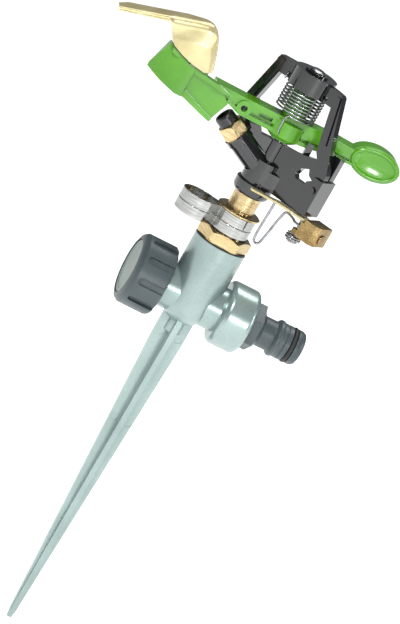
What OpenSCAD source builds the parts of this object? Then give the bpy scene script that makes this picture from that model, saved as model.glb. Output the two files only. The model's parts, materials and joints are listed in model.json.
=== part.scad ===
// Part-circle impulse sprinkler on a ground spike, with a flow knob and a
// click-on hose inlet. Z is the spike's axis and X is the inlet's axis, so the
// ground line is z = 0, the knob is at -X and the hose comes from +X.

/* [Ground spike] */
// Length of the spike below the ground line
spike_l = 154; // [110:1:220]
// Width across a pair of spike wings at the ground line
spike_w = 14.6; // [12:0.2:18]
// Thickness of a spike wing
wing_t = 2.4; // [1.8:0.1:3.2]
// Width of the spike's blunt tip
tip_w = 3; // [2.6:0.1:5]

/* [Valve body] */
// Diameter of the valve body
body_d = 24.4; // [22:0.2:30]
// Height of the valve body above the inlet axis
body_rise = 27.3; // [24:0.1:34]
// Distance from the body's axis to the ends of its two side bosses
boss_reach = 14; // [13.6:0.1:17]
// Diameter of the two side bosses
boss_d = 20.5; // [19.5:0.1:23]
// Diameter of the threaded socket in the top of the body
thread_d = 18.6; // [18:0.1:19.4]

/* [Hose inlet] */
// Diameter of the inlet socket
socket_d = 30; // [27:0.5:36]
// Length of the inlet socket
socket_l = 14.1; // [13:0.1:20]
// Diameter of the connector's click ridge
ridge_d = 17; // [16:0.1:18]
// Diameter of the connector's nose
nose_d = 16; // [14.5:0.1:16.4]
// Bore of the connector
hose_bore = 9.6; // [7:0.1:10.4]

/* [Flow knob] */
// Diameter of the flow knob
knob_d = 32.8; // [29:0.2:40]
// Length of the flow knob
knob_l = 16.5; // [15:0.1:24]
// Number of grip slots round the knob
grip_n = 10; // [6:1:12]
// Width of a grip slot
grip_w = 3.6; // [2:0.1:4.4]

/* [Bearing] */
// Size across the flats of the brass hexagon
hex_af = 21.8; // [21:0.1:24]
// Height of the brass hexagon
hex_h = 5.4; // [4.4:0.1:7]
// Diameter of the turning sleeve
sleeve_d = 12.8; // [12:0.1:13.4]
// Running clearance on the sleeve's radius
sleeve_play = 0.06; // [0.03:0.01:0.09]
// Length of bare sleeve between the bearing and the head
sleeve_show = 7.8; // [6:0.1:10]

/* [Stop collars] */
// Diameter of the seat that the stop collars grip
seat_d = 16.6; // [16:0.1:17.2]
// Height of one collar strip
collar_h = 4.7; // [4:0.1:5.6]
// Thickness of a collar strip
strip_t = 0.8; // [0.6:0.1:1]
// Distance from the collar's axis to the middle of its loop
loop_reach = 18.4; // [17.5:0.1:21]
// Radius of the loop's round end
loop_r = 8.4; // [7:0.1:9]

/* [Head] */
// Elevation of the jet in degrees
jet_angle = 27.5; // [22:0.5:30]
// Diameter of the barrel
barrel_d = 12; // [11:0.1:13.5]
// Length of the barrel from the spike axis
barrel_l = 19.6; // [18:0.1:21]
// Size across the flats of the nozzle's hexagon
nozzle_af = 11; // [10:0.1:12]
// Bore of the nozzle
jet_d = 4.2; // [3:0.1:5]
// Angle of the yoke's plane in degrees
yoke_angle = -38; // [-44:1:-34]

/* [Arm] */
// Distance from the arm's pivot to the middle of its counterweight
weight_reach = 41.2; // [38:0.2:48]
// Half length of the oval counterweight
weight_a = 12; // [10:0.1:13.5]
// Half height of the oval counterweight
weight_b = 7.3; // [6:0.1:8.5]
// Diameter of the arm's hub
hub_d = 11; // [10:0.1:12]
// Diameter of the pin that the arm swings on
pin_d = 4; // [3:0.1:4.4]
// Outer diameter of the arm spring
spring_d = 19.6; // [18.6:0.1:20.4]
// Wire diameter of the arm spring
spring_wire = 1.1; // [0.9:0.1:1.3]

/* [Hidden] */

// smoothness of round faces, and a small amount by which cuts overrun a face
$fn = 64;
over = 1;

// heights of the stack, each resting on the one below
axis_z = 14;
body_r = body_d / 2;
sphere_drop = 1;
body_top = axis_z + body_rise;
gasket_t = 0.7;
hex_z = body_top + gasket_t;
seat_z = hex_z + hex_h;
collar_gap = 0.15;
lower_z = seat_z + collar_gap;
upper_z = lower_z + collar_h + collar_gap;
flange_z = upper_z + collar_h + collar_gap;
flange_t = 1.4;
hex_turn = -7;
flange_d = seat_d + 3.6;
head_z = flange_z + flange_t + sleeve_show;
neck_z = head_z + 6.4;
housing_z = head_z + 6.85;
jet_z = head_z + 12.5;
tower_z = head_z + 27.5;
arm_z = tower_z + 1;
hub_h = 23.3;
bridge_z = arm_z + 24.6;
bridge_h = 8.5;
bridge_top = bridge_z + bridge_h;

// the waterway through the valve
valve_bore_d = 14;
seat_bore_d = 9;
seat_x = 2;
port_off = 2.4;
port_d = 3.6;
riser_d = 11;
socket_depth = 14;
stub_d = 16;
stub_l = 5;
spigot_d = 8;
spigot_h = 5.5;
flat_y = body_r - 0.9;
gland_x = -boss_reach + 0.2;
gland_bore_d = 7;
spindle_d = 6.86;
filter_t = 0.8;
washer_t = 1;
socket_x = boss_reach;
socket_end = socket_x + socket_l;
thread_x = socket_x + 8.6;
gasket_l = 0.8;
hex_end = socket_end + 4.6;
ring_x = 21.2;
ring_wire = 2;
connector_af = 19.6;

// the knob, its bore and its cap
knob_in = -boss_reach - 0.4;
knob_out = knob_in - knob_l;
knob_r = knob_d / 2;
cap_d = knob_d - 7;
cap_t = 1.6;

// the bearing sleeve's foot and its washer, inside the body
foot_z = body_top - socket_depth + 1.6;
foot_t = 1.5;
nipple_foot = foot_z + foot_t + washer_t + 0.1;

// the yoke's frame: u runs outwards along the yoke, v across it
trip_u = 29.2;
trip_v = -1;
trip_pin_d = 1.8;
dog_u = 25.4;
dog_v = 5.4;
dog_pin_d = 3;
column_u = [25.2, 30.2];
column_v = [-4, 8.2];
leg_t = 4;
column_top = head_z + 24.2;
stop_at = [27.2, column_v[0] - 1, column_top - 5.6];
stop_d = 2;
stop_l = 5;
plate_z = head_z + 5.2;
plate_t = 0.9;
block_z = head_z - 1.9;
pin_play = 0.05;
bail_d = 1.2;
bail_at = [9.2, -12.5];
bail_z = block_z + 4.6;
bail_v = -3.2;

// the deflector sheet and the rivet that it tilts on
sheet_t = 0.8;
rivet_x = -47;
rivet_dz = 15.4;
rivet_d = 3;
web_y = -7.6;

module along_x(x) {
    translate([x, 0, axis_z]) rotate([0, 90, 0]) children();
}

module along_jet(s) {
    translate([0, 0, jet_z]) rotate([0, jet_angle - 90, 0]) translate([0, 0, s]) children();
}

// the [x, height] of a point s along the jet and t above it
function jet_point(s, t) = [t * sin(jet_angle) - s * cos(jet_angle), jet_z + s * sin(jet_angle) + t * cos(jet_angle)];

module in_yoke(u, v, z) {
    rotate([0, 0, yoke_angle]) translate([u, v, z]) children();
}

// an upright plate drawn as [x, height] and centred on y
module upright(points, t, y = 0) {
    translate([0, y + t / 2, 0]) rotate([90, 0, 0]) linear_extrude(t) polygon(points);
}

module tube(outer, inner, h) {
    difference() {
        cylinder(h = h, d = outer);
        translate([0, 0, -over]) cylinder(h = h + 2 * over, d = inner);
    }
}

module hexagon(af, h) {
    cylinder(h = h, d = af / cos(30), $fn = 6);
}

module o_ring(mid_d, wire) {
    rotate_extrude() translate([mid_d / 2, 0]) circle(d = wire, $fn = 24);
}

// points with each corner cut twice, which leaves round bends
function cut_corners(p) = [p[0], for (i = [0 : len(p) - 2])
    each [p[i] * 0.75 + p[i + 1] * 0.25, p[i] * 0.25 + p[i + 1] * 0.75], p[len(p) - 1]];

function unit(v) = v / norm(v);

// a round wire swept along points that lie near one upright plane, given by its normal
module swept_wire(points, d, normal, sides = 10) {
    n = len(points) - 1;
    rings = [for (i = [0 : n])
        let (along = unit(points[min(i + 1, n)] - points[max(i - 1, 0)]),
            side = unit(cross(along, normal)), other = cross(side, along))
        for (k = [0 : sides - 1]) points[i] + d / 2 * (side * cos(360 * k / sides) + other * sin(360 * k / sides))];
    skin = [for (i = [0 : n - 1]) for (k = [0 : sides - 1])
        let (p = i * sides + k, q = i * sides + (k + 1) % sides)
        each [[p, p + sides, q], [q, p + sides, q + sides]]];
    ends = [[for (k = [0 : sides - 1]) k], [for (k = [0 : sides - 1]) n * sides + sides - 1 - k]];
    polyhedron(rings, concat(skin, ends), convexity = 10);
}

// a round wire wound on a circle, rising steadily from its first turn
module coil(mid_d, wire_d, turns, rise, steps = 24, sides = 8) {
    n = floor(turns * steps);
    points = [for (i = [0 : n]) for (k = [0 : sides - 1])
        let (t = 360 * i / steps, a = 360 * k / sides, r = mid_d / 2 + wire_d / 2 * cos(a))
        [r * cos(t), r * sin(t), rise * i / n + wire_d / 2 * sin(a)]];
    skin = [for (i = [0 : n - 1]) for (k = [0 : sides - 1])
        let (p = i * sides + k, q = i * sides + (k + 1) % sides)
        each [[p, q, p + sides], [q, q + sides, p + sides]]];
    ends = [[for (k = [0 : sides - 1]) sides - 1 - k], [for (k = [0 : sides - 1]) n * sides + k]];
    polyhedron(points, concat(skin, ends), convexity = 10);
}

// ---- spike and valve ----

module spike_wing() {
    half = spike_w / 2;
    tip = tip_w / 2;
    upright([[-half, spigot_h], [half, spigot_h], [half, -8], [tip, -spike_l + tip_w],
        [tip / 2, -spike_l], [-tip / 2, -spike_l], [-tip, -spike_l + tip_w], [-half, -8]], wing_t);
}

module ground_spike() {
    color("silver") union() {
        difference() {
            union() {
                spike_wing();
                rotate([0, 0, 90]) spike_wing();
            }
            translate([0, 0, axis_z - sphere_drop]) sphere(d = body_d);
            for (spot = [[-4.6, -6], [4.6, -6], [-3.6, -50], [3.6, -50]])
                for (side = [-1, 1])
                    translate([spot[0], side * (wing_t / 2 + 0.4), spot[1]]) rotate([90, 0, 0])
                        cylinder(h = 1.2, d = 3.6, center = true, $fn = 32);
        }
        translate([0, 0, -4]) cylinder(h = spigot_h + 4, d = spigot_d);
    }
}

module body_shell() {
    difference() {
        union() {
            translate([0, 0, axis_z - sphere_drop]) cylinder(h = body_rise + sphere_drop, d = body_d);
            translate([0, 0, axis_z - sphere_drop]) sphere(d = body_d);
            along_x(-boss_reach) cylinder(h = 2 * boss_reach, d = boss_d);
            along_x(boss_reach - over) cylinder(h = stub_l + over, d = stub_d);
        }
        for (side = [-1, 1])
            translate([-body_d / 2, side < 0 ? -flat_y - 10 : flat_y, -5])
                cube([body_d, 10, body_top - 1]);
    }
}

module valve_body() {
    color("silver") difference() {
        body_shell();
        translate([0, 0, body_top - socket_depth]) cylinder(h = socket_depth + over, d = thread_d);
        translate([0, 0, axis_z]) cylinder(h = body_rise, d = riser_d);
        along_x(-boss_reach) cylinder(h = boss_reach + seat_x, d = valve_bore_d);
        along_x(0) cylinder(h = boss_reach + stub_l + over, d = seat_bore_d);
        along_x(seat_x + 5) cylinder(h = boss_reach + stub_l, d = riser_d);
        translate([0, 0, -over]) cylinder(h = spigot_h + over, d = spigot_d);
    }
}

module inlet_socket() {
    edge = 2.5;
    r = socket_d / 2;
    color("silver") difference() {
        along_x(socket_x) rotate_extrude() union() {
            square([r - edge, socket_l]);
            translate([0, edge]) square([r, socket_l - 2 * edge]);
            for (y = [edge, socket_l - edge]) translate([r - edge, y]) circle(r = edge);
        }
        along_x(socket_x - over) cylinder(h = stub_l + gasket_l + over, d = stub_d);
        along_x(socket_x) cylinder(h = socket_l, d = riser_d + 1);
        along_x(thread_x - filter_t - washer_t) cylinder(h = socket_l, d = thread_d);
    }
}

module socket_gasket() {
    color("black") along_x(socket_x + stub_l) tube(stub_d - 0.4, riser_d, gasket_l);
}

module filter_washer() {
    color("black") along_x(thread_x - filter_t - washer_t + 0.3) tube(thread_d - 0.6, 13, washer_t - 0.3);
}

module inlet_filter() {
    color("lightgray") along_x(thread_x - filter_t) difference() {
        cylinder(h = filter_t, d = thread_d - 0.4);
        for (ring = [0, 1, 2]) for (i = [0 : max(0, 6 * ring - 1)])
            rotate([0, 0, 60 / max(1, ring) * i]) translate([1.8 * ring, 0, -over])
                cylinder(h = filter_t + 2 * over, d = 1, $fn = 16);
    }
}

module hose_connector() {
    ridge_x = 13;
    nose_x = 26.4;
    neck_r = 7;
    r = nose_d / 2;
    color("dimgray") difference() {
        union() {
            along_x(thread_x) cylinder(h = socket_end - thread_x, d = thread_d - 0.1);
            along_x(socket_end) hexagon(connector_af, hex_end - socket_end);
            along_x(socket_end) rotate_extrude() polygon([[0, 4], [9.4, 4], [9.4, 4.6], [neck_r, 6.4],
                [neck_r, ridge_x - 0.8], [ridge_d / 2 - 0.5, ridge_x], [ridge_d / 2, ridge_x + 0.6],
                [ridge_d / 2, ridge_x + 1.9], [r, ridge_x + 2.5], [r, nose_x - 2], [r - 0.6, nose_x - 0.6],
                [r - 1.8, nose_x], [0, nose_x]]);
        }
        along_x(socket_end + ring_x - ring_wire * 0.6) tube(nose_d + 2, nose_d + 0.6 - 2 * ring_wire, ring_wire * 1.2);
        along_x(socket_end + ridge_x + 4.2) tube(nose_d + 2, nose_d - 0.9, 0.6);
        along_x(socket_x) cylinder(h = 60, d = hose_bore);
    }
}

module connector_o_ring() {
    color("black") along_x(socket_end + ring_x) o_ring(nose_d + 0.6 - ring_wire, ring_wire);
}

module gland_nut() {
    color("goldenrod") difference() {
        along_x(gland_x) cylinder(h = 7, d = valve_bore_d);
        along_x(gland_x - over) cylinder(h = 7 + 2 * over, d = gland_bore_d);
        along_x(gland_x + 3) tube(gland_bore_d + 2.4, gland_bore_d - 1, 2);
    }
}

module gland_o_ring() {
    color("black") along_x(gland_x + 4) o_ring(gland_bore_d + 1.1, 1.2);
}

module knob() {
    slot_l = 11;
    color("dimgray") difference() {
        along_x(knob_out) rotate_extrude() polygon([[0, 0], [knob_r - 3, 0], [knob_r - 1.2, 0.7],
            [knob_r, 2.4], [knob_r, knob_l - 1], [knob_r - 0.8, knob_l], [0, knob_l]]);
        along_x(knob_out - over) cylinder(h = cap_t + 0.6 + over, d = cap_d);
        along_x(knob_out + cap_t) cylinder(h = 3, d = 10);
        along_x(knob_out + 4) cylinder(h = knob_l, d = 4.2);
        along_x(knob_out + 9) cylinder(h = knob_l, d = spindle_d);
        along_x(knob_out + 11) cylinder(h = knob_l, d = boss_d + 1.4);
        for (i = [0 : grip_n - 1]) along_x(knob_out) rotate([0, 0, 360 / grip_n * (i + 0.5)]) {
            translate([knob_r - 1.3, -grip_w / 2, knob_l - slot_l]) cube([4, grip_w, slot_l + over]);
            translate([knob_r - 1.3, 0, knob_l - slot_l]) rotate([0, 90, 0])
                cylinder(h = 4, d = grip_w, $fn = 32);
        }
    }
}

module knob_cap() {
    color("silver") along_x(knob_out + 0.7) union() {
        cylinder(h = cap_t - 0.1, d = cap_d - 0.1);
        translate([0, 0, -0.3]) tube(cap_d - 0.8, cap_d - 4, 0.6);
    }
}

module knob_screw() {
    color("silver") difference() {
        union() {
            along_x(knob_out + 2.4) cylinder(h = 1.8, d = 6.4);
            along_x(knob_out + 4) cylinder(h = 10, d = 3);
        }
        along_x(knob_out + 1) for (turn = [0, 90]) rotate([0, 0, turn])
            translate([-2, -0.4, 0]) cube([4, 0.8, 2.2]);
    }
}

module spindle() {
    color("goldenrod") difference() {
        union() {
            along_x(knob_out + 9) cylinder(h = -knob_out - 9 - 3.2, d = spindle_d);
            along_x(-4) cylinder(h = 2.2, d = 4);
        }
        along_x(knob_out + 4) cylinder(h = 10, d = 3);
        along_x(gland_x + 8) tube(spindle_d + 1, spindle_d - 1, 0.8);
    }
}

module valve_disc() {
    color("goldenrod") difference() {
        along_x(-3) cylinder(h = 3, d = 11.6);
        along_x(-3.2) cylinder(h = 1.6, d = 4.1);
        along_x(-4) translate([port_off, 0, 0]) cylinder(h = 5, d = port_d);
    }
}

module seat_washer() {
    color("black") along_x(0) difference() {
        cylinder(h = seat_x, d = valve_bore_d - 0.1);
        translate([-port_off, 0, -over]) cylinder(h = seat_x + 2 * over, d = port_d);
    }
}

// ---- bearing and stop collars ----

module body_gasket() {
    color("black") translate([0, 0, body_top]) tube(body_d - 0.8, thread_d, gasket_t);
}

module bearing_nipple() {
    color("goldenrod") difference() {
        union() {
            translate([0, 0, nipple_foot]) cylinder(h = hex_z - nipple_foot + over, d = thread_d);
            intersection() {
                translate([0, 0, hex_z]) rotate([0, 0, hex_turn]) hexagon(hex_af, hex_h);
                translate([0, 0, hex_z]) rotate_extrude() polygon([[0, 0], [hex_af / 2 + 1, 0],
                    [hex_af / 2 + 1.4, 1], [hex_af / 2 + 1.4, hex_h - 1], [hex_af / 2, hex_h], [0, hex_h]]);
            }
            translate([0, 0, seat_z - over]) cylinder(h = flange_z - seat_z + 1.5 * over, d = seat_d);
            translate([0, 0, flange_z]) rotate_extrude() polygon([[0, 0], [flange_d / 2 - 0.3, 0],
                [flange_d / 2, 0.3], [flange_d / 2, flange_t - 0.5], [flange_d / 2 - 0.8, flange_t], [0, flange_t]]);
        }
        translate([0, 0, nipple_foot - over])
            cylinder(h = flange_z - nipple_foot + 2 * over + flange_t, d = sleeve_d + 2 * sleeve_play);
    }
}

module bearing_sleeve() {
    color("goldenrod") difference() {
        union() {
            translate([0, 0, foot_z]) cylinder(h = foot_t, d = thread_d - 1.4);
            translate([0, 0, foot_z]) cylinder(h = head_z + 8 - foot_z, d = sleeve_d);
        }
        translate([0, 0, foot_z - over]) cylinder(h = 60, d = sleeve_d - 3);
    }
}

module thrust_washer() {
    color("white") translate([0, 0, foot_z + foot_t]) tube(thread_d - 1.6, sleeve_d, washer_t);
}

// plan of a collar strip's outer or inner edge: a round seat, a neck and a teardrop loop
module collar_plan(ring_r, end_r, neck) {
    circle(r = ring_r);
    translate([-loop_reach, 0]) circle(r = end_r);
    polygon([[-ring_r + 1.6, neck], [-loop_reach + end_r * 0.42, end_r * 0.9075],
        [-loop_reach + end_r * 0.42, -end_r * 0.9075], [-ring_r + 1.6, -neck]]);
}

module stop_collar(z) {
    inner = seat_d / 2 + 0.08;
    translate([0, 0, z]) linear_extrude(collar_h) difference() {
        collar_plan(inner + strip_t, loop_r, 3);
        collar_plan(inner, loop_r - strip_t, 3 - strip_t);
    }
}

module lower_collar() {
    color("lightgray") stop_collar(lower_z);
}

module upper_collar() {
    color("lightgray") stop_collar(upper_z);
}

// ---- turning head ----

module yoke_web() {
    top = bridge_top - arm_z - 0.9;
    low = bridge_z - arm_z;
    in_yoke(0, 0, arm_z) difference() {
        union() {
            // bridge and right leg, down to the column
            upright([[-12, top], [-18.5, top - 0.6], [-19.4, top - 3], [-15.4, low], [0, low], [14.6, low],
                [19, 5], [21.4, 2], [21.4, -4.6], [23.6, -6], [23.6, -21], [29, -21], [29, -4], [28.8, -1.2],
                [22.7, 14.7], [17.4, top - 1.2], [16.4, top - 0.4], [12, top]], leg_t);
            // left leg, bent in behind the barrel
            upright([[-12, top - 2], [-18.5, top - 0.6], [-24, 9], [-22.4, 0], [-12, -11], [-2, -14],
                [-2, -4], [-8, -4.6], [-16.6, 1], [-19, 9], [-15.4, low]], leg_t);
            // lower bar from the tower to the right leg
            upright([[0, -1.2], [0, -16], [9, -16], [16, -10.2], [24, -10.2], [24, -2], [23, 3.2], [18, 1.4],
                [10, -0.6], [4, -1.2]], leg_t);
            upright([[8, -22], [26, -22], [26, -9], [8, -9]], leg_t);
        }
        // the open window beside the right leg
        upright([[15.4, -8.4], [16.8, -4.8], [20.4, -3.2], [21.6, -5.6], [24, -6.8], [22, -8.2], [21.6, -10],
            [16.6, -10]], 12);
    }
}

module bridge() {
    translate([0, 0, bridge_z]) cylinder(h = bridge_h, d = 20);
    translate([0, 0, bridge_z - 0.8]) cylinder(h = 1.8, d = 10);
    translate([0, 0, bridge_top]) cylinder(h = 0.8, d = 11);
    // ribs down the outside of each leg
    in_yoke(0, 0, arm_z) for (side = [-1, 1])
        upright([[side * 15.4, 30.6], [side * 17, 30.6], [side * 21.9, 9.5], [side * 20.3, 9.5]], leg_t + 1.8);
}

module housing() {
    // the flat-fronted box between the collar and the column
    translate([0, 0, housing_z]) linear_extrude(7.6)
        polygon([[-2, -6.6], [3, -8], [18.4, -8], [21.2, -14.6], [25, -12], [25, 2], [16, 7], [0, 7.2]]);
    in_yoke(0, 0, housing_z + 0.4) translate([column_u[0], column_v[0], 0])
        cube([column_u[1] - column_u[0], column_v[1] - column_v[0], column_top - housing_z - 0.4]);
    in_yoke(dog_u, dog_v, housing_z + 0.4) cylinder(h = column_top - housing_z - 0.4, d = 6.8);
}

module barrel() {
    along_jet(0) cylinder(h = barrel_l, d = barrel_d);
    along_jet(barrel_l - 3) cylinder(h = 3, d = barrel_d + 0.8);
    // web between the barrel and the arm's tower
    upright([[0, jet_z], jet_point(barrel_l - 0.3, 0), jet_point(barrel_l - 0.3, 7), jet_point(barrel_l + 2.3, 7.6),
        [-9.8, arm_z + 0.8], [-8.8, tower_z - 0.4], [0, tower_z - 0.4]], 5);
}

module head_body() {
    color("black") difference() {
        union() {
            translate([0, 0, head_z]) rotate_extrude() polygon([[0, 0], [6.6, 0], [7.8, 0.6], [8.5, 1.6],
                [8.75, 2.8], [8.75, neck_z - head_z - 0.5], [8.3, neck_z - head_z], [0, neck_z - head_z]]);
            translate([0, 0, neck_z - over]) cylinder(h = 12, d = 15);
            translate([0, 0, jet_z]) sphere(d = barrel_d + 1);
            translate([0, 0, jet_z]) cylinder(h = tower_z - jet_z, d = 8.4);
            barrel();
            housing();
            yoke_web();
            bridge();
            // the anvil that the arm returns to
            translate([10, -9.2, arm_z - 4]) cube([3, 2.4, 10]);
        }
        translate([0, 0, head_z - over]) cylinder(h = 8 + over, d = sleeve_d);
        translate([0, 0, head_z]) cylinder(h = 13, d = 8);
        along_jet(0) cylinder(h = barrel_l + over, d = 8);
        translate([0, 0, tower_z - 6]) cylinder(h = 6 + over, d = pin_d);
        translate([0, 0, bridge_z - over - 1]) cylinder(h = 14, d = pin_d);
        in_yoke(trip_u, trip_v, housing_z) cylinder(h = 6, d = trip_pin_d);
        in_yoke(dog_u, dog_v, column_top - 14) cylinder(h = 15, d = dog_pin_d + 2 * pin_play);
        in_yoke(dog_u, dog_v, housing_z) cylinder(h = 4.4, d = 6);
        in_yoke(stop_at[0], stop_at[1], stop_at[2]) rotate([-90, 0, 0]) cylinder(h = stop_l, d = stop_d);
        in_yoke(dog_u, dog_v, housing_z) cylinder(h = 15, d = dog_pin_d + 2 * pin_play);
        // hook holes for the upper end of the arm spring
        for (side = [-1, 1]) in_yoke(side * 10.6, 0, bridge_z + 2) rotate([90, 0, 0])
            cylinder(h = 20, d = 1.8, center = true, $fn = 24);
    }
}

module nozzle() {
    color("goldenrod") difference() {
        union() {
            along_jet(barrel_l - 5) cylinder(h = 5, d = 8);
            along_jet(barrel_l) intersection() {
                hexagon_across(nozzle_af, 6.5);
                rotate_extrude() polygon([[0, 0], [nozzle_af / 2 + 0.2, 0], [nozzle_af / 2 + 0.8, 0.8],
                    [nozzle_af / 2 + 0.8, 5.7], [nozzle_af / 2 - 0.1, 6.5], [0, 6.5]]);
            }
        }
        along_jet(barrel_l - 6) cylinder(h = 20, d = 6);
    }
}

// a hexagon with one corner towards each side of the head
module hexagon_across(af, h) {
    rotate([0, 0, 30]) hexagon(af, h);
}

module nozzle_tip() {
    color("black") difference() {
        union() {
            along_jet(barrel_l + 6.5) rotate_extrude() polygon([[0, 0], [4.5, 0], [4.5, 3.9], [4, 4.6], [0, 4.6]]);
            along_jet(barrel_l + 1) cylinder(h = 6, d = 6);
        }
        along_jet(barrel_l) cylinder(h = 12, d = jet_d);
        along_jet(barrel_l + 9.6) cylinder(h = 3, d = 6.4);
    }
}

module fulcrum_pin() {
    color("gray") union() {
        translate([0, 0, tower_z - 6]) cylinder(h = bridge_top + 0.8 - tower_z + 6.2, d = pin_d);
        translate([0, 0, bridge_top + 0.8]) rotate_extrude() polygon([[0, 0], [3.7, 0], [3.7, 0.6], [2.8, 1.1],
            [1.2, 1.4], [0, 1.4]]);
    }
}

// ---- swinging arm ----

module beam() {
    // the beam is a channel: a wide lower rib, a narrow waist and a wide upper part
    left = -30;
    upright([[left, 5], [-23, 2.5], [-8, 2.3], [0, 2], [8, 2.2], [22, 4.4], [33, 4.8], [33, 6], [22, 5.8],
        [10, 4], [-8, 4.2], [-23, 4.4], [left, 6.6]], 11.6);
    upright([[left, 5], [-23, 3], [0, 3], [22, 5], [34, 5.4], [34, 9], [22, 9], [0, 8], [-23, 8],
        [-37, 8]], 8.2);
    upright([[-37.4, 8.8], [-29, 6], [-8, 5.6], [8, 5.4], [22, 6.8], [34, 7], [34, 11.4], [22, 12],
        [6, 11.8], [-6, 10.4], [-22, 10.4], [-37.4, 10.6]], 10.8);
}

module vane() {
    // the wall and the curved spoon, kept inside the outline of the casting
    intersection() {
        upright([[-63.4, 17.2], [-67.6, 2.4], [-60.4, 0.4], [-53, -1.3], [-48.2, -1.4], [-38.5, -4.5],
            [-33.2, -6], [-29.1, 4.5], [-34, 8.8], [-37.3, 10.6], [-47.6, 11.9], [-52.7, 12.8],
            [-57.9, 14.8]], 60);
        translate([0, 0, -10]) linear_extrude(40) union() {
            translate([-52, -6.4]) square([24, 3]);
            difference() {
                translate([-51, 9]) circle(r = 17.8);
                translate([-51, 9]) circle(r = 14.8);
                translate([-49.6, -30]) square([60, 60]);
                translate([-80, 1.5]) square([60, 60]);
            }
        }
    }
    // lower lip and upper ledge
    upright([[-50, -1.4], [-48.2, -1.4], [-38.5, -4.5], [-33.2, -6], [-32.6, -4.4], [-38, -2.6],
        [-47.6, 1.6], [-50, 1.8]], 4.6, -5.4);
    upright([[-62, 14.4], [-57.9, 12.8], [-52.7, 10.8], [-47.6, 10], [-34, 8], [-30, 8.4], [-37.3, 10.6],
        [-47.6, 11.9], [-52.7, 12.8], [-57.9, 14.8], [-62.4, 16.6]], 4.8, -5.3);
    // ear that carries the deflector
    upright([[-53, 11], [-43, 10], [-43.6, 16.4], [-45, 18.2], [-49, 18.2], [-51.4, 16]], 2.4, -5.4);
}

module oval(a, b) {
    polygon([for (i = [0 : 71]) [a * cos(5 * i), b * sin(5 * i)]]);
}

module counterweight() {
    translate([weight_reach, -1, 9.4]) rotate([90, 0, 0]) difference() {
        union() {
            linear_extrude(8, center = true) oval(weight_a, weight_b);
            linear_extrude(9.4, center = true) oval(weight_a - 0.8, weight_b - 0.8);
        }
        translate([0, 0, 3.6]) linear_extrude(3) oval(weight_a - 2.2, weight_b - 2);
        translate([0, 0, -6.6]) linear_extrude(3) oval(weight_a - 2.2, weight_b - 2);
    }
}

module arm() {
    color("limegreen") translate([0, 0, arm_z]) difference() {
        union() {
            cylinder(h = hub_h, d = hub_d);
            rotate_extrude() polygon([[0, 0], [4, 0], [7, 0.8], [8.6, 2.2], [8.6, 9], [0, 10.4]]);
            beam();
            vane();
            counterweight();
            translate([-21.8, 0, 6]) rotate([90, 0, 0]) cylinder(h = 12.4, d = 7, center = true);
        }
        translate([0, 0, -over]) cylinder(h = hub_h + 2 * over, d = pin_d + 2.8);
        translate([-21.8, 0, 6]) rotate([90, 0, 0]) cylinder(h = 20, d = 3, center = true);
        // hook slot for the lower end of the arm spring
        translate([-14.6, -7, 5.8]) cube([6.4, 3.6, 1.8]);
        translate([rivet_x, 0, rivet_dz]) rotate([90, 0, 0]) cylinder(h = 20, d = rivet_d, center = true);
    }
}

module arm_bushes() {
    color("white") for (z = [arm_z, arm_z + hub_h - 6]) translate([0, 0, z]) tube(pin_d + 2.8, pin_d + 0.1, 6);
}

module arm_spring() {
    // wound from the arm's hub up to the bridge
    start = 12.2;
    color("silver") translate([0, 0, arm_z + start + spring_wire / 2])
        coil(spring_d - spring_wire, spring_wire, 6.5, bridge_z - arm_z - start - spring_wire - 0.2);
}

module deflector() {
    // one bent sheet: a sloping blade over the jet, an upright web and a foot on the vane
    fold = [-50.8, 33.3];
    tip = [-89.8, 21.7];
    blade_w = 10.2;
    color("khaki") translate([0, 0, arm_z]) difference() {
        union() {
            upright([fold, fold + [0, sheet_t], tip + [-2, sheet_t - 0.6], tip + [-2, -0.6]], blade_w,
                web_y + (blade_w - sheet_t) / 2);
            upright([tip + [20, 6.4], fold + [0, 0.4], [-49.6, 31.8], [-43.4, 18], [-42.4, 13.8], [-46, 12.6],
                [-52, 13.6], [-57.9, 15.4], [-62.6, 17.4], [-64.6, 19], [-68, 28.6]], sheet_t, web_y);
            upright([[-52, 13.8], [-42, 12.8], [-42, 11.7], [-47.6, 12.5], [-52, 13.2]], 2.6, web_y - 1.6);
        }
        translate([rivet_x, 0, rivet_dz]) rotate([90, 0, 0])
            cylinder(h = 20, d = rivet_d + 0.1, center = true);
        // adjusting slot
        translate([-64.4, web_y, 24.9]) rotate([0, -27, 0]) cube([1.2, 4, 6.6], center = true);
        // the blade's far upper corner and near lower corner are cut back
        translate([fold[0] - 5.6, web_y + blade_w - 0.6, 20]) rotate([0, 0, -48]) cube([14, 8, 20]);
        translate([tip[0] - 4.6, web_y - 4, 15]) rotate([0, 0, 24]) cube([4, 12, 16]);
    }
}

module deflector_rivet() {
    color("khaki") translate([rivet_x, 0, arm_z + rivet_dz]) rotate([90, 0, 0]) union() {
        translate([0, 0, 4.2]) cylinder(h = 3.9, d = rivet_d);
        translate([0, 0, 8.05]) cylinder(h = 0.6, d = 4);
        translate([0, 0, 3.3]) cylinder(h = 0.9, d = 4.6);
    }
}

// ---- trip mechanism ----

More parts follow.
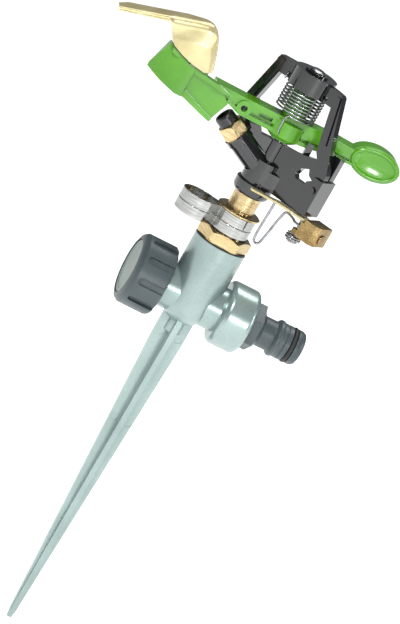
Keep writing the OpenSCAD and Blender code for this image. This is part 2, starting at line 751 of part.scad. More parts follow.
module trip_plate() {
    color("khaki") in_yoke(trip_u, trip_v, plate_z) difference() {
        union() {
            translate([0, 0, -0.05]) cylinder(h = plate_t + 0.25, r = 3);
            // drawn from the pivot towards the head's collar
            rotate([0, 0, -yoke_angle]) linear_extrude(plate_t) polygon([[-1, -2.9], [-12, 3.4], [-25.6, 5.2], [-25.6, 7.8], [-23, 7.8],
                [-13, 7.6], [-9, 9.4], [-4, 6], [2.4, 1.6], [2, -2]]);
        }
        translate([0, 0, -over]) cylinder(h = 4, d = trip_pin_d + 2 * pin_play);
        translate(-[trip_u, trip_v, 0]) rotate([0, 0, -yoke_angle]) translate([bail_at[0], bail_at[1], -over])
            cylinder(h = 4, d = bail_d + 0.1);
    }
}

// a point given in the yoke's frame
function from_yoke(u, v, z) = [u * cos(yoke_angle) - v * sin(yoke_angle),
    u * sin(yoke_angle) + v * cos(yoke_angle), z];

// the bail that the stop collars push, bent from one wire that hooks through
// the plate at one end and enters the block at the other
module trip_wire() {
    top = plate_z - 0.1;
    low = head_z - 16;
    route = [[bail_at[0], bail_at[1], plate_z + plate_t + 0.3], [bail_at[0], bail_at[1], top - 2.6],
        [8.9, -11.6, low + 3], [9.6, -11.6, low + 0.6], [11.6, -11.8, low + 0.2], [12.6, -12, low + 2.4],
        [14.6, -13.4, top - 2.4], [15.8, -14.6, top - 1], [19, -18, top - 1.8],
        from_yoke(26.8, bail_v, bail_z), from_yoke(32.4, bail_v, bail_z)];
    color("silver") swept_wire(cut_corners(cut_corners(route)), bail_d, [-sin(yoke_angle), cos(yoke_angle), 0]);
}

module trip_block() {
    color("goldenrod") in_yoke(0, 0, block_z) difference() {
        union() {
            translate([31, -5, 0]) cube([9.4, 12, 7]);
            translate([32.4, -5, 0]) cube([8, 12, 8.9]);
            translate([trip_u, trip_v, 0]) cylinder(h = 2.2, d = 4.4);
            translate([trip_u, trip_v - 2.2, 0]) cube([3, 4.4, 2.2]);
        }
        translate([trip_u, trip_v, -over]) cylinder(h = 12, d = trip_pin_d + 2 * pin_play);
        // chamfers on the near edges
        translate([40.4, -5, -over]) rotate([0, 0, 45]) cube([3, 3, 30], center = true);
        translate([36, 8.4, 11]) rotate([45, 0, 0]) cube([20, 4, 4], center = true);
        translate([28, 1, 3.6]) rotate([0, 90, 0]) cylinder(h = 14, d = 3);
        translate([28, bail_v, bail_z - block_z]) rotate([0, 90, 0]) cylinder(h = 5, d = bail_d + 0.1);
    }
}

module block_pin() {
    color("peru") in_yoke(32, 1, block_z + 3.6) rotate([0, 90, 0]) union() {
        cylinder(h = 8.4, d = 3);
        translate([0, 0, 8.4]) cylinder(h = 0.7, d = 4.6);
    }
}

module trip_pivot() {
    color("silver") in_yoke(trip_u, trip_v, 0) union() {
        translate([0, 0, block_z - 4]) cylinder(h = housing_z + 5.4 - block_z + 4, d = trip_pin_d);
        translate([0, 0, block_z - 4.4]) cylinder(h = 0.6, d = 3);
    }
}

module trip_spring() {
    color("silver") in_yoke(trip_u, trip_v, block_z - 3.1) coil(6.6, 0.9, 2.4, 2.4);
}

module pivot_clip() {
    color("silver") in_yoke(trip_u, trip_v, block_z - 3.8) tube(5.4, trip_pin_d, 0.6);
}

module reversing_dog() {
    color("black") in_yoke(dog_u, dog_v, column_top + 0.3) difference() {
        union() {
            cylinder(h = 3, d = 6.6);
            translate([-0.6, -2.1, 0]) cube([4.2, 4.2, 11.2]);
            translate([-1.6, -2.1, 8.4]) cube([4, 4.2, 2.8]);
        }
        translate([0, 0, -over]) cylinder(h = 7, d = dog_pin_d);
    }
}

module dog_shaft() {
    color("silver") in_yoke(dog_u, dog_v, housing_z + 2) cylinder(h = column_top - housing_z + 3, d = dog_pin_d);
}

module dog_clip() {
    color("silver") in_yoke(dog_u, dog_v, housing_z + 2.6) tube(5.4, dog_pin_d, 0.8);
}

module toggle_spring() {
    color("gray") translate([12, -4.1, housing_z + 8.2]) coil(3.2, 0.7, 5, 4.4, 16, 6);
}

module stop_pin() {
    color("silver") in_yoke(stop_at[0], stop_at[1], stop_at[2]) rotate([-90, 0, 0]) union() {
        cylinder(h = stop_l, d = stop_d);
        cylinder(h = 1, d = 3.4);
    }
}

ground_spike();
valve_body();
inlet_socket();
socket_gasket();
filter_washer();
inlet_filter();
hose_connector();
connector_o_ring();
gland_nut();
gland_o_ring();
knob();
knob_cap();
knob_screw();
spindle();
valve_disc();
seat_washer();
body_gasket();
bearing_nipple();
bearing_sleeve();
thrust_washer();
lower_collar();
upper_collar();
head_body();
nozzle();
nozzle_tip();
fulcrum_pin();
arm();
arm_bushes();
arm_spring();
deflector();
deflector_rivet();
trip_plate();
trip_wire();
trip_block();
block_pin();
trip_pivot();
trip_spring();
pivot_clip();
reversing_dog();
dog_shaft();
dog_clip();
toggle_spring();
stop_pin();
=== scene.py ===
import json
import math

import bmesh
import bpy
import numpy as np
from mathutils import Matrix, Vector


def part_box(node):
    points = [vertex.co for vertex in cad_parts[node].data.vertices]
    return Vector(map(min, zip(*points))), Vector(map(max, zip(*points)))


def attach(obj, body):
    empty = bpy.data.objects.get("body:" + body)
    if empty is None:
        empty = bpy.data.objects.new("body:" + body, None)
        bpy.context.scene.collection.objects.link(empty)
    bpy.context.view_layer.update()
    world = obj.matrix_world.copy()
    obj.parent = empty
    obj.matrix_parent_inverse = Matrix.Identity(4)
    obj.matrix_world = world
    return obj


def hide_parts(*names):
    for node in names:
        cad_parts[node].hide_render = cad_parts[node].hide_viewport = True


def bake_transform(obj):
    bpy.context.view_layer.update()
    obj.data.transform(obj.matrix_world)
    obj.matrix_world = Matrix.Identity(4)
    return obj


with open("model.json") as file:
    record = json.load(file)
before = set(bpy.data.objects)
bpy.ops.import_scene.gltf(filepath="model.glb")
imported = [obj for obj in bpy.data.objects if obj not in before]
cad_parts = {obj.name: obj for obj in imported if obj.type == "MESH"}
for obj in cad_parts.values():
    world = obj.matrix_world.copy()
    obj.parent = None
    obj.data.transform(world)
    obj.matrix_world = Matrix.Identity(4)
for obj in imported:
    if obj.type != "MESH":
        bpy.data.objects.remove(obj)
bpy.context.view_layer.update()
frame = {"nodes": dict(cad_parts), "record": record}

# ---- Studio ----
# The sprinkler is seen slightly from above and from its left, with the camera rolled.
# A pale floor lies just below the spike's tip, and four soft lamps shine at the head.
VIEW_AZIMUTH = math.radians(-13)
VIEW_ELEVATION = math.radians(14)
VIEW_ROLL = math.radians(29.67)
VIEW_DISTANCE = 3.0
VIEW_AIM = Vector((0, 0, 0.014))
VIEW_SHIFT = (0.00704, -0.00415)
LENS = 396
SENSOR = 36
NEAREST, FARTHEST = 0.1, 20


def view_axes(azimuth, elevation):
    """Right, up and back of a level camera: back leans by the elevation and turns by the azimuth."""
    sa, ca = math.sin(azimuth), math.cos(azimuth)
    se, ce = math.sin(elevation), math.cos(elevation)
    return Vector((ca, sa, 0)), Vector((-sa * se, ca * se, ce)), Vector((sa * ce, -ca * ce, se))


right, up, back = view_axes(VIEW_AZIMUTH, VIEW_ELEVATION)
aim = VIEW_AIM + VIEW_SHIFT[0] * right + VIEW_SHIFT[1] * up
roll_right = math.cos(VIEW_ROLL) * right + math.sin(VIEW_ROLL) * up
roll_up = -math.sin(VIEW_ROLL) * right + math.cos(VIEW_ROLL) * up
lens = bpy.data.cameras.new("camera")
lens.lens = LENS
lens.sensor_width = SENSOR
lens.clip_start = NEAREST
lens.clip_end = FARTHEST
camera = bpy.data.objects.new("camera", lens)
camera.matrix_world = Matrix.Translation(aim + VIEW_DISTANCE * back) @ Matrix(
    (roll_right, roll_up, back)).transposed().to_4x4()
bpy.context.scene.collection.objects.link(camera)
bpy.context.scene.camera = camera

LAMP_AIM = Vector((0, 0, 0.06))


def softbox(name, place, size, power):
    """A rectangular lamp at place, turned so that it shines at the head."""
    lamp = bpy.data.lights.new(name, "AREA")
    lamp.shape = "RECTANGLE"
    lamp.size, lamp.size_y = size
    lamp.energy = power
    obj = bpy.data.objects.new(name, lamp)
    towards = LAMP_AIM - Vector(place)
    obj.matrix_world = Matrix.Translation(place) @ towards.to_track_quat("-Z", "Y").to_matrix().to_4x4()
    bpy.context.scene.collection.objects.link(obj)


softbox("key", (-0.55, -1.0, 1.15), (0.3, 0.3), 20)
softbox("side", (1.25, -0.55, 0.55), (0.12, 0.8), 8)
softbox("front", (0.36, -1.5, 0.2), (0.22, 0.22), 6)
softbox("top", (0.1, 0.5, 1.7), (0.8, 0.8), 18)

SKY_COLOUR = (0.92, 0.95, 1, 1)
SKY_STRENGTH = 0.16
world = bpy.data.worlds.new("studio")
world.use_nodes = True
sky = world.node_tree.nodes["Background"]
sky.inputs["Color"].default_value = SKY_COLOUR
sky.inputs["Strength"].default_value = SKY_STRENGTH
bpy.context.scene.world = world
bpy.context.scene.view_settings.view_transform = "Standard"

FLOOR_SIZE = 12
FLOOR_DROP = 0.0015
FLOOR_COLOUR = (0.93, 0.93, 0.93, 1)
FLOOR_ROUGHNESS = 0.9
FLOOR_GLOW = 0.58
bpy.ops.mesh.primitive_plane_add(size=FLOOR_SIZE, location=(0, 0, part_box("ground_spike")[0][2] - FLOOR_DROP))
floor = bpy.context.object
floor.name = "floor"
pale = bpy.data.materials.new("pale_floor")
pale.use_nodes = True
matt = pale.node_tree.nodes["Principled BSDF"]
matt.inputs["Base Color"].default_value = FLOOR_COLOUR
matt.inputs["Roughness"].default_value = FLOOR_ROUGHNESS
matt.inputs["Emission Color"].default_value = (1, 1, 1, 1)
matt.inputs["Emission Strength"].default_value = FLOOR_GLOW
floor.data.materials.append(pale)

# ---- Ground spike ----
# Four thin wings in a cross, cast in one piece and pressed into the valve's foot.
# Zinc casting with satin silver paint; every edge is a little rounded by the mould.
MM = 0.001
NOISE_FROM, NOISE_TO = 0.3, 0.7
NOISE_DETAIL = 4
RELIEF_DEPTH = 1 * MM
COAT_ROUGHNESS = 0.06
SEAM = 0.003 * MM
FLAT_WITHIN = math.radians(0.6)


def linear(red, green, blue):
    """A colour chart value, 0 to 255 for each of red, green and blue, as linear light."""
    return tuple(((c / 255 + 0.055) / 1.055) ** 2.4 for c in (red, green, blue)) + (1,)


def noise(tree, scale, stretch):
    """Noise on Object coordinates, scale in waves per metre, drawn out by stretch."""
    place = tree.nodes.new("ShaderNodeTexCoord")
    mapping = tree.nodes.new("ShaderNodeMapping")
    mapping.inputs["Scale"].default_value = stretch
    tree.links.new(place.outputs["Object"], mapping.inputs["Vector"])
    grain = tree.nodes.new("ShaderNodeTexNoise")
    grain.inputs["Scale"].default_value = scale
    grain.inputs["Detail"].default_value = NOISE_DETAIL
    tree.links.new(mapping.outputs["Vector"], grain.inputs["Vector"])
    return grain.outputs["Fac"]


def between(tree, value, low, high):
    """Stretches the middle of a noise value to run from low to high."""
    ramp = tree.nodes.new("ShaderNodeMapRange")
    ramp.inputs["From Min"].default_value = NOISE_FROM
    ramp.inputs["From Max"].default_value = NOISE_TO
    ramp.inputs["To Min"].default_value = low
    ramp.inputs["To Max"].default_value = high
    tree.links.new(value, ramp.inputs["Value"])
    return ramp.outputs["Result"]


def two_tone(tree, value, dark, light):
    """Blends two colours by a noise value."""
    ramp = tree.nodes.new("ShaderNodeValToRGB")
    ramp.color_ramp.elements[0].position = NOISE_FROM
    ramp.color_ramp.elements[0].color = dark
    ramp.color_ramp.elements[1].position = NOISE_TO
    ramp.color_ramp.elements[1].color = light
    tree.links.new(value, ramp.inputs["Fac"])
    return ramp.outputs["Color"]


def surface(name, dark, light, patch, grain, rough, metal=0.0, coat=0.0, relief=0.02, shine=0.5,
            stretch=(1, 1, 1)):
    """A finish with soft patches of two tones, and a finer grain that varies gloss and relief."""
    made = bpy.data.materials.new(name)
    made.use_nodes = True
    tree = made.node_tree
    skin = tree.nodes["Principled BSDF"]
    tree.links.new(two_tone(tree, noise(tree, patch, stretch), dark, light), skin.inputs["Base Color"])
    fine = noise(tree, grain, stretch)
    tree.links.new(between(tree, fine, *rough), skin.inputs["Roughness"])
    bump = tree.nodes.new("ShaderNodeBump")
    bump.inputs["Strength"].default_value = relief
    bump.inputs["Distance"].default_value = RELIEF_DEPTH
    tree.links.new(fine, bump.inputs["Height"])
    tree.links.new(bump.outputs["Normal"], skin.inputs["Normal"])
    skin.inputs["Metallic"].default_value = metal
    skin.inputs["Coat Weight"].default_value = coat
    skin.inputs["Coat Roughness"].default_value = COAT_ROUGHNESS
    skin.inputs["Specular IOR Level"].default_value = shine
    return made


def body_with(node):
    """The body that a node of the frame moves with."""
    bodies = frame["record"]["behaviour"]["bodies"]
    return next(name for name, nodes in bodies.items() if node in nodes)


def rounded_edges(piece, width, angle, segments):
    """Rounds every edge of a piece that turns by more than the angle, in degrees."""
    edge = piece.modifiers.new("edges", "BEVEL")
    edge.limit_method = "ANGLE"
    edge.angle_limit = math.radians(angle)
    edge.width = width
    edge.segments = segments
    return edge


def softened(node, material, radius, limit=28, segments=2):
    """A cast or moulded piece: the frame's solid with its seams joined and its sharp edges rounded."""
    mesh = frame["nodes"][node].data.copy()
    mesh.name = node + "_soft"
    work = bmesh.new()
    work.from_mesh(mesh)
    bmesh.ops.remove_doubles(work, verts=work.verts, dist=SEAM)
    bmesh.ops.dissolve_limit(work, angle_limit=FLAT_WITHIN, verts=work.verts, edges=work.edges, delimit=set())
    work.to_mesh(mesh)
    work.free()
    if mesh.has_custom_normals:
        mesh.attributes.remove(mesh.attributes["custom_normal"])
    mesh.shade_smooth()
    mesh.set_sharp_from_angle(angle=math.radians(limit))
    mesh.materials.clear()
    mesh.materials.append(material)
    piece = bpy.data.objects.new(node + "_soft", mesh)
    bpy.context.scene.collection.objects.link(piece)
    edge = rounded_edges(piece, radius, limit, segments)
    edge.use_clamp_overlap = True
    edge.harden_normals = True
    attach(piece, body_with(node))
    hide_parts(node)


silver_paint = surface("silver_paint", linear(136, 153, 150), linear(150, 168, 164), patch=45, grain=2600,
                       rough=(0.26, 0.36), metal=0.6, coat=0.15)
softened("ground_spike", silver_paint, 0.4 * MM)

# ---- Valve body and inlet socket ----
# Two castings in the same satin silver paint. The body is a cylinder with a flat
# front and two side bosses; the socket is a thick round cup on the hose side.
softened("valve_body", silver_paint, 0.6 * MM)
softened("inlet_socket", silver_paint, 0.4 * MM)

# ---- Hose connector and knob ----
# Moulded from dark grey plastic. The connector screws into the socket; the knob
# is pushed on its spindle, held by a screw under a light grey cap.
dark_plastic = surface("dark_plastic", linear(52, 62, 65), linear(66, 77, 80), patch=70, grain=1800,
                       rough=(0.36, 0.48), relief=0.05)
softened("hose_connector", dark_plastic, 0.3 * MM)
softened("knob", dark_plastic, 0.5 * MM)
cap_grey = surface("cap_grey", linear(112, 124, 119), linear(126, 138, 132), patch=80, grain=1600,
                   rough=(0.38, 0.5), metal=0.1, relief=0.04)
softened("knob_cap", cap_grey, 0.2 * MM)


# ---- Rubber seals ----
# O-rings and flat washers, moulded from black rubber and pressed between the
# pieces that they seal.
def dress(node, material):
    """Gives a node of the frame its finish."""
    data = frame["nodes"][node].data
    data.materials.clear()
    data.materials.append(material)


rubber = surface("rubber", linear(18, 18, 19), linear(30, 30, 31), patch=200, grain=2400,
                 rough=(0.5, 0.7), relief=0.08)
for seal in ("socket_gasket", "filter_washer", "connector_o_ring", "gland_o_ring", "seat_washer", "body_gasket"):
    dress(seal, rubber)

# ---- Brass fittings ----
# Turned from brass bar: the bearing with its hexagon, the head's sleeve, the gland,
# the valve's spindle and disc, and the nozzle. The lever's block and its pin are
# of a darker, unpolished brass.
brass = surface("brass", linear(184, 160, 112), linear(216, 196, 152), patch=140, grain=900, rough=(0.14, 0.26),
                metal=1.0, relief=0.12, stretch=(1, 1, 14))
for fitting in ("gland_nut", "spindle", "valve_disc", "bearing_sleeve"):
    dress(fitting, brass)
softened("bearing_nipple", brass, 0.2 * MM)
softened("nozzle", brass, 0.2 * MM)
bronze = surface("bronze", linear(128, 104, 66), linear(170, 146, 100), patch=220, grain=1300,
                 rough=(0.22, 0.42), metal=1.0, relief=0.15)
softened("trip_block", bronze, 0.3 * MM)
softened("block_pin", bronze, 0.2 * MM)

# ---- Steel pins and clips ----
# Turned or stamped from stainless steel, and pressed or clipped in place. The
# filter disc and the knob's screw are of the same steel.
steel = surface("steel", linear(120, 120, 120), linear(165, 165, 163), patch=300, grain=1200, rough=(0.2, 0.34),
                metal=1.0, relief=0.08, stretch=(1, 1, 8))
for pin in ("inlet_filter", "knob_screw", "trip_pivot", "pivot_clip", "dog_shaft", "dog_clip"):
    dress(pin, steel)
softened("fulcrum_pin", steel, 0.2 * MM)

# ---- Stop collars ----
# Bright stainless strip, rolled round the bearing and closed in a finger loop.
# The two are alike, one on top of the other.
bright_strip = surface("bright_strip", linear(142, 143, 140), linear(178, 179, 176), patch=160, grain=1600,
                       rough=(0.08, 0.17), metal=1.0, relief=0.03, stretch=(1, 1, 10))
for collar in ("lower_collar", "upper_collar"):
    softened(collar, bright_strip, 0.15 * MM)

# ---- Turning head ----
# One zinc casting in gloss black enamel: collar, barrel, tower and the two-legged
# yoke. The reversing dog and the stop pin are enamelled too; the nozzle's tip is plastic.
black_enamel = surface("black_enamel", linear(8, 9, 11), linear(16, 18, 20), patch=90, grain=1200,
                       rough=(0.12, 0.2), shine=0.4, coat=0.85, relief=0.025)
softened("head_body", black_enamel, 0.9 * MM, segments=3)
softened("reversing_dog", black_enamel, 0.2 * MM)
dress("stop_pin", black_enamel)
black_plastic = surface("black_plastic", linear(24, 24, 25), linear(36, 36, 38), patch=120, grain=1700,
                        rough=(0.25, 0.35), relief=0.04)
softened("nozzle_tip", black_plastic, 0.2 * MM)

# ---- Swinging arm ----
# Zinc casting in gloss green enamel: hub, beam, oval counterweight and the spoon.
# It swings on two nylon bushes; a third nylon ring takes the head's thrust.
green_enamel = surface("green_enamel", linear(66, 128, 12), linear(80, 148, 22), patch=55, grain=1000,
                       rough=(0.18, 0.28), shine=0.4, coat=0.35, relief=0.05)
softened("arm", green_enamel, 0.8 * MM, segments=3)
nylon = surface("nylon", linear(214, 212, 200), linear(232, 230, 220), patch=120, grain=1500,
                rough=(0.45, 0.6), relief=0.04)
for ring in ("arm_bushes", "thrust_washer"):
    dress(ring, nylon)

# ---- Counterweight's faces ----
# The casting leaves a shallow dish in each face of the counterweight, with a
# rounded rim that stands proud. Both are in the arm's green enamel.
ARM_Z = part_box("arm_bushes")[0][2] / MM
WEIGHT = (41.2, -1.0, ARM_Z + 9.4)
WEIGHT_A, WEIGHT_B = 12.0, 7.3
DISH_A, DISH_B = WEIGHT_A - 2.0, WEIGHT_B - 1.8
DISH_FLOOR, DISH_RISE, DISH_WALL = 3.65, 0.75, 0.25
RIM_A, RIM_B = WEIGHT_A - 1.5, WEIGHT_B - 1.4
RIM_OUT, RIM_BEAD = 4.1, 0.95
OVAL_STEPS, DISH_STEPS, BEAD_STEPS = 96, 22, 17
DOUBLED = 0.0001 * MM


def sheet_mesh(name, grid, material, ring=False):
    """A mesh from a grid of points, rows by columns; ring joins the last column to the first."""
    rows, columns = grid.shape[:2]
    index = np.arange(rows * columns).reshape(rows, columns)
    if ring:
        index = np.concatenate([index, index[:, :1]], axis=1)
    faces = np.stack([index[:-1, :-1], index[:-1, 1:], index[1:, 1:], index[1:, :-1]], axis=-1).reshape(-1, 4)
    mesh = bpy.data.meshes.new(name)
    mesh.from_pydata(grid.reshape(-1, 3).tolist(), [], faces.tolist())
    mesh.materials.append(material)
    mesh.shade_smooth()
    piece = bpy.data.objects.new(name, mesh)
    bpy.context.scene.collection.objects.link(piece)
    return piece


def closed_outwards(piece):
    """Joins doubled points and turns every face outwards."""
    work = bmesh.new()
    work.from_mesh(piece.data)
    bmesh.ops.remove_doubles(work, verts=work.verts, dist=DOUBLED)
    bmesh.ops.recalc_face_normals(work, faces=work.faces)
    work.to_mesh(piece.data)
    work.free()
    piece.data.shade_smooth()


def dish(face, name):
    """A bowl in an oval recess: p = c + (a q cos u, face (floor + rise q^2), b q sin u), for q from 0 to 1."""
    u = np.linspace(0, 2 * np.pi, OVAL_STEPS, endpoint=False)[None, :]
    q = np.linspace(0, 1, DISH_STEPS)[:, None]
    x = WEIGHT[0] + DISH_A * q * np.cos(u)
    z = WEIGHT[2] + DISH_B * q * np.sin(u)
    y = WEIGHT[1] + face * (DISH_FLOOR + DISH_RISE * q ** 2) + 0 * u
    front = np.stack([x, y, z], axis=-1)
    rear = front[::-1] - (0, face * DISH_WALL, 0)
    return sheet_mesh(name, np.concatenate([front, rear]) * MM, green_enamel, ring=True)


def rim(face, name):
    """A round bead along an oval: p = c + ((a + r cos v) cos u, face out + r sin v, (b + r cos v) sin u)."""
    u = np.linspace(0, 2 * np.pi, OVAL_STEPS, endpoint=False)[:, None]
    v = np.linspace(0, 2 * np.pi, BEAD_STEPS)[None, :]
    out = RIM_BEAD * np.cos(v)
    x = WEIGHT[0] + (RIM_A + out) * np.cos(u)
    z = WEIGHT[2] + (RIM_B + out) * np.sin(u)
    y = WEIGHT[1] + face * RIM_OUT + RIM_BEAD * np.sin(v) + 0 * u
    return sheet_mesh(name, np.stack([x, y, z], axis=-1).transpose(1, 0, 2) * MM, green_enamel, ring=True)


for face, side in ((-1, "a"), (1, "b")):
    for facing in (dish(face, "weight_dish_" + side), rim(face, "weight_rim_" + side)):
        closed_outwards(facing)
        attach(facing, "swing_arm")

# ---- Deflector ----
# Sheet steel with a pale gold passivation. The blade is bent over from an upright
# web in one soft bend, and the web is riveted to the arm.
gold_sheet = surface("gold_sheet", linear(172, 160, 112), linear(198, 188, 146), patch=90, grain=420,
                     rough=(0.3, 0.4), metal=0.55, relief=0.008)
TIP_X, EDGE_X = -91.8, -42.6
WEB_Y = -7.7
BLADE_W = 10.2
BLADE_TOP = ([TIP_X, -56, -53, -51, -49.2, -47.6, -46, -44.4, EDGE_X],
             [21.4, 31.8, 32.5, 32.4, 31.2, 29, 25.6, 21, 15.2])
WEB_FOOT = ([TIP_X, -70, -68.2, -64.8, -62.6, -57.9, -52, -46, EDGE_X],
            [20, 25.9, 24.8, 19.4, 17.5, 15.5, 13.7, 12.7, 13.6])
BLADE_WIDTH = ([TIP_X, TIP_X + 1.2, TIP_X + 4.6, -62, -54, -50.2, -48, EDGE_X],
               [6.4, 7.6, BLADE_W, BLADE_W, 7, 3.4, 0.5, 0.4])
BEND = 3.2
BULGE, BULGE_FROM, BULGE_W, BULGE_RISE = 1.3, -68, 26, 6
SHEET, SHEET_EDGE, SHEET_ANGLE = 0.8, 0.2, 50
LEAST = 0.02
COLUMNS, ACROSS = 150, 44


def bent_sheet():
    """A sheet in columns along x. Column x runs from the blade's far edge at y = WEB_Y + w(x), level, to a
    quarter bend of radius r(x), then straight down to the web's lower edge z = low(x). The height of the
    blade is top(x), so every point is placed by its length along this profile. The web bulges towards -Y
    by half a sine wave along x."""
    x = TIP_X + (EDGE_X - TIP_X) * np.linspace(0, 1, COLUMNS)
    top = ARM_Z + np.interp(x, *BLADE_TOP)
    low = ARM_Z + np.interp(x, *WEB_FOOT)
    wide = np.interp(x, *BLADE_WIDTH)
    bend = np.minimum(np.minimum(BEND, wide * 0.8), np.maximum(top - low, 0.6) * 0.9)[:, None]
    flat = np.maximum(wide[:, None] - bend, LEAST)
    drop = np.maximum((top - low)[:, None] - bend, LEAST)
    arc = bend * np.pi / 2
    s = np.linspace(0, 1, ACROSS)[None, :] * (flat + arc + drop)
    turn = np.clip((s - flat) / arc, 0, 1) * np.pi / 2
    y = WEB_Y + bend + np.maximum(flat - s, 0) - bend * np.sin(turn)
    hang = np.maximum(s - flat - arc, 0)
    along = np.sin(np.pi * np.clip((x - BULGE_FROM) / BULGE_W, 0, 1))[:, None]
    y = y - BULGE * np.clip(hang / BULGE_RISE, 0, 1) * along
    z = top[:, None] - bend * (1 - np.cos(turn)) - hang
    return np.stack([x[:, None] + 0 * s, y, z], axis=-1)


blade = sheet_mesh("deflector_sheet", bent_sheet() * MM, gold_sheet)
wall = blade.modifiers.new("thickness", "SOLIDIFY")
wall.thickness = SHEET * MM
wall.offset = 0
rounded_edges(blade, SHEET_EDGE * MM, SHEET_ANGLE, 2)
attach(blade, "deflector_flap")
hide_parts("deflector")
dress("deflector_rivet", gold_sheet)
softened("trip_plate", gold_sheet, 0.15 * MM)

# ---- Arm spring ----
# Drawn spring wire, wound cold. It is hooked over the bridge above and behind the
# arm below; the real spring twists as the arm swings out, but this coil is one fixed shape.
wire_steel = surface("wire_steel", linear(120, 122, 124), linear(170, 172, 174), patch=400, grain=1500,
                     rough=(0.16, 0.28), metal=1.0, relief=0.06)
YOKE_TURN = math.radians(-38)
BRIDGE_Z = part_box("arm_spring")[1][2] / MM + 0.2
SPRING_R, SPRING_WIRE, SPRING_TURNS, SPRING_START = 9.25, 0.9, 7.62, -112
SPRING_FOOT = ARM_Z + 12.6
SPRING_TOP_GAP = 0.6


def in_yoke(u, v, z):
    """A point of the yoke's own frame: u along the yoke, v across it."""
    return (u * math.cos(YOKE_TURN) - v * math.sin(YOKE_TURN), u * math.sin(YOKE_TURN) + v * math.cos(YOKE_TURN), z)


def helix(radius, start, turns, low, rise, centre=(0, 0), per_turn=40):
    """Points on p = c + (r cos a, r sin a, z) with z rising steadily from low over the turns."""
    a = math.radians(start) + np.linspace(0, 2 * np.pi * turns, int(per_turn * turns))
    z = low + rise * np.linspace(0, 1, len(a))
    return np.stack([centre[0] + radius * np.cos(a), centre[1] + radius * np.sin(a), z], axis=1)


def rounded_path(points, passes=3):
    """Cuts every corner of a path a few times: each pass puts points at 1/4 and 3/4 of every stretch."""
    path = np.array(points, dtype=float)
    for _ in range(passes):
        cut = np.stack([path[:-1] * 0.75 + path[1:] * 0.25, path[:-1] * 0.25 + path[1:] * 0.75], axis=1)
        path = np.concatenate([path[:1], cut.reshape(-1, 3), path[-1:]])
    return path


def wire(name, path, diameter, beside, sides=14):
    """A round wire along a path, with closed ends. Each ring lies across the path's direction d, spanned by
    s = d x beside and d x s, where beside is a direction that the path never follows."""
    d = np.gradient(path, axis=0)
    d /= np.linalg.norm(d, axis=1, keepdims=True)
    s = np.cross(d, np.broadcast_to(beside, d.shape))
    s /= np.linalg.norm(s, axis=1, keepdims=True)
    o = np.cross(d, s)
    around = np.linspace(0, 2 * np.pi, sides, endpoint=False)
    ring = s[:, None] * np.cos(around)[None, :, None] + o[:, None] * np.sin(around)[None, :, None]
    body = path[:, None] + diameter / 2 * ring
    caps = [path[:1, None] + 0 * body[:1], body, path[-1:, None] + 0 * body[-1:]]
    piece = sheet_mesh(name, np.concatenate(caps) * MM, wire_steel, ring=True)
    closed_outwards(piece)
    return piece


coil = helix(SPRING_R, SPRING_START, SPRING_TURNS, SPRING_FOOT, BRIDGE_Z - SPRING_TOP_GAP - SPRING_FOOT)
first, last = coil[0], coil[-1]
leg = rounded_path([(first[0] - 0.2, first[1] - 0.1, ARM_Z + 3.6), (first[0] - 1.0, first[1] + 0.2, ARM_Z + 4.2),
                    (first[0] - 1.2, first[1] + 0.3, ARM_Z + 11.6), first])[:-1]
hook = rounded_path([last, last + (coil[-1] - coil[-2]) * 2, in_yoke(-10.6, 3.6, BRIDGE_Z + 1.2),
                     in_yoke(-10.6, 2.6, BRIDGE_Z + 2.2), in_yoke(-10.6, -3, BRIDGE_Z + 2.2),
                     in_yoke(-10.7, -3.6, BRIDGE_Z + 1.2), in_yoke(-10.9, -3.2, BRIDGE_Z - 0.4)])[1:]
route = np.concatenate([leg, coil, hook])
arm_coil = wire("arm_coil", route, SPRING_WIRE, route * (1, 1, 0))
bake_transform(arm_coil)
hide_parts("arm_spring")

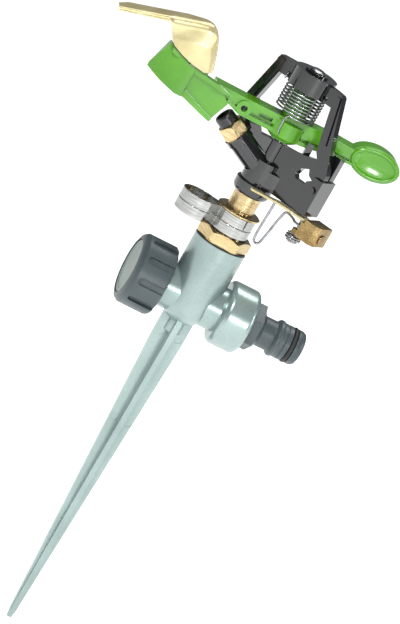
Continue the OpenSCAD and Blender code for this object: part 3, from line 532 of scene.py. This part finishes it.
# ---- Bail ----
# One length of the same wire, bent to shape: from the lever's plate down to where
# the stop collars meet it, and back up to the lever's block.
BAIL_WIRE = 1.2
bail_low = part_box("trip_wire")[0][2] / MM
plate_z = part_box("trip_plate")[0][2] / MM
bail_route = [(9.2, -12.5, plate_z + 1.2), (9.2, -12.5, plate_z - 2.7), (8.9, -11.6, bail_low + 3.6),
              (9.6, -11.6, bail_low + 1.2), (11.6, -11.8, bail_low + 0.8), (12.6, -12, bail_low + 3),
              (14.6, -13.4, plate_z - 2.5), (15.8, -14.6, plate_z - 1.1), (19, -18, plate_z - 1.9),
              in_yoke(26.8, -3.2, plate_z - 2.5), in_yoke(32.4, -3.2, plate_z - 2.5)]
bail = wire("bail", rounded_path(bail_route), BAIL_WIRE, in_yoke(0, 1, 0))
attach(bail, "trip_lever")
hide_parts("trip_wire")

# ---- Lever spring ----
# A short coil of spring wire under the lever's plate, beside the brass block.
# It is wound cold, and its ends are cut square.
LEVER_R, LEVER_WIRE, LEVER_TURNS, LEVER_RISE = 3.3, 0.9, 2.4, 2.4
centre = np.array(in_yoke(29.2, -1, 0))
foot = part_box("trip_spring")[0][2] / MM + LEVER_WIRE / 2
lever_route = helix(LEVER_R, 0, LEVER_TURNS, foot, LEVER_RISE, centre[:2])
lever_coil = wire("lever_coil", lever_route, LEVER_WIRE, (lever_route - centre) * (1, 1, 0))
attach(lever_coil, "trip_lever")
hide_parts("trip_spring")

# ---- Toggle spring ----
# A small coil of thinner spring wire, which stands upright beside the head's
# column. It is wound cold, and its ends are cut square.
TOGGLE_R, TOGGLE_WIRE, TOGGLE_TURNS = 1.6, 0.7, 5
corner, far_corner = (np.array(c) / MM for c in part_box("toggle_spring"))
centre = (corner + far_corner) / 2
toggle_route = helix(TOGGLE_R, 0, TOGGLE_TURNS, corner[2] + TOGGLE_WIRE / 2, far_corner[2] - corner[2] - TOGGLE_WIRE,
                     centre[:2], 28)
toggle_coil = wire("toggle_coil", toggle_route, TOGGLE_WIRE, (toggle_route - centre) * (1, 1, 0))
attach(toggle_coil, "head")
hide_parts("toggle_spring")
